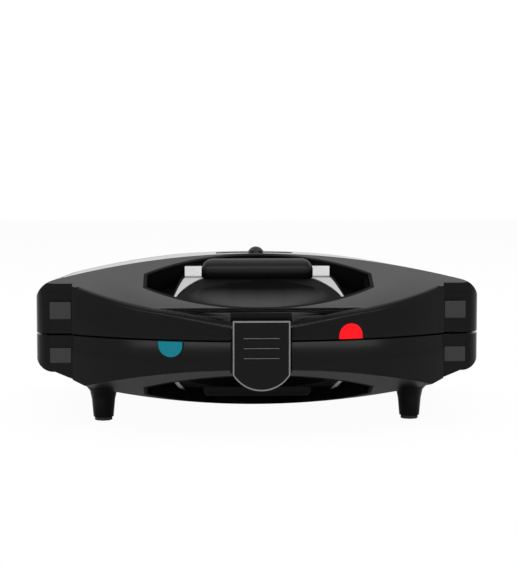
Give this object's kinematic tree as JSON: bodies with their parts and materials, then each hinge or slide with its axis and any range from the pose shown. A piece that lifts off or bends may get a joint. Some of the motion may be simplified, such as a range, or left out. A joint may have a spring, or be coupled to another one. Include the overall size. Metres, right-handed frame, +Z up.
{
  "type": "sandwich and snack maker",
  "caption": "Countertop sandwich maker: hinged lid and base with pocketed non-stick plates, bow handle, front latch, pilot lights and moulded feet.",
  "frame": {"origin": "middle of the footprint's bounding box, at the surface that the feet stand on", "axes": "+X to the user's right, -Y towards the user (the handle side), +Z up"},
  "size_m": [0.25, 0.2223, 0.0988],
  "materials": {
    "black_gloss": "moulded black, glossy",
    "black_well": "moulded black, glossy",
    "black_button": "moulded black, satin",
    "polished_trim": "polished",
    "brushed_panel": "brushed across",
    "badge": "dark satin",
    "dark_stud": "dark, glossy",
    "inner_black": "moulded black, matt",
    "non_stick": "non-stick coating",
    "element_steel": "dull steel tube",
    "tray_aluminium": "mill finish",
    "teal_lens": "translucent teal",
    "red_lens": "translucent red",
    "lamp_glass": "clear",
    "control_body": "moulded",
    "fuse_body": "moulded",
    "ceramic_block": "moulded",
    "screw_steel": "zinc plated",
    "pin_steel": "plain steel",
    "pad_rubber": "matt",
    "gland_rubber": "matt"
  },
  "bodies": {
    "base": {"base_casing": "black_gloss", "base_inner_frame": "inner_black", "base_finger_well": "black_well", "base_well_trim": "polished_trim", "lower_plate": "non_stick", "lower_heating_element": "element_steel", "lower_reflector": "tray_aluminium", "ready_light_lens": "teal_lens", "ready_lamp": "lamp_glass", "thermostat": "control_body", "thermal_fuse": "fuse_body", "terminal_block": "ceramic_block", "base_screws": "screw_steel", "base_feet": "black_gloss", "foot_pads": "pad_rubber", "base_hinge_eyes": "black_gloss", "hinge_pins": "pin_steel", "cord_gland": "gland_rubber"},
    "lid": {"lid_casing": "black_gloss", "lid_inner_frame": "inner_black", "lid_finger_well": "black_well", "lid_well_trim": "polished_trim", "upper_plate": "non_stick", "upper_heating_element": "element_steel", "upper_reflector": "tray_aluminium", "lid_top_panel": "brushed_panel", "lid_badge_plate": "badge", "lid_panel_stud": "dark_stud", "power_light_lens": "red_lens", "power_lamp": "lamp_glass", "thermal_cutout": "control_body", "lid_screws": "screw_steel", "lid_hinge_eyes": "black_gloss", "latch_pin": "pin_steel"},
    "latch": {"latch": "black_gloss"},
    "lid_button": {"lid_release_button": "black_button"},
    "base_button": {"base_release_button": "black_button"}
  },
  "joints": [
    {"name": "lid_hinge", "type": "hinge", "parent": "base", "child": "lid", "pos_m": [0, 0.1065, 0.052], "axis": [-1, 0, 0], "range_deg": [0, 100]},
    {"name": "latch_hinge", "type": "hinge", "parent": "lid", "child": "latch", "pos_m": [0, -0.1028, 0.0602], "axis": [-1, 0, 0], "range_deg": [0, 75]},
    {"name": "lid_release_press", "type": "slide", "parent": "lid", "child": "lid_button", "axis": [0, 0, -1], "range_m": [0, 0.003], "stiffness_N_per_m": 400, "springref_m": -0.001},
    {"name": "base_release_press", "type": "slide", "parent": "base", "child": "base_button", "axis": [0, 0, 1], "range_m": [0, 0.003], "stiffness_N_per_m": 400, "springref_m": -0.001}
  ]
}
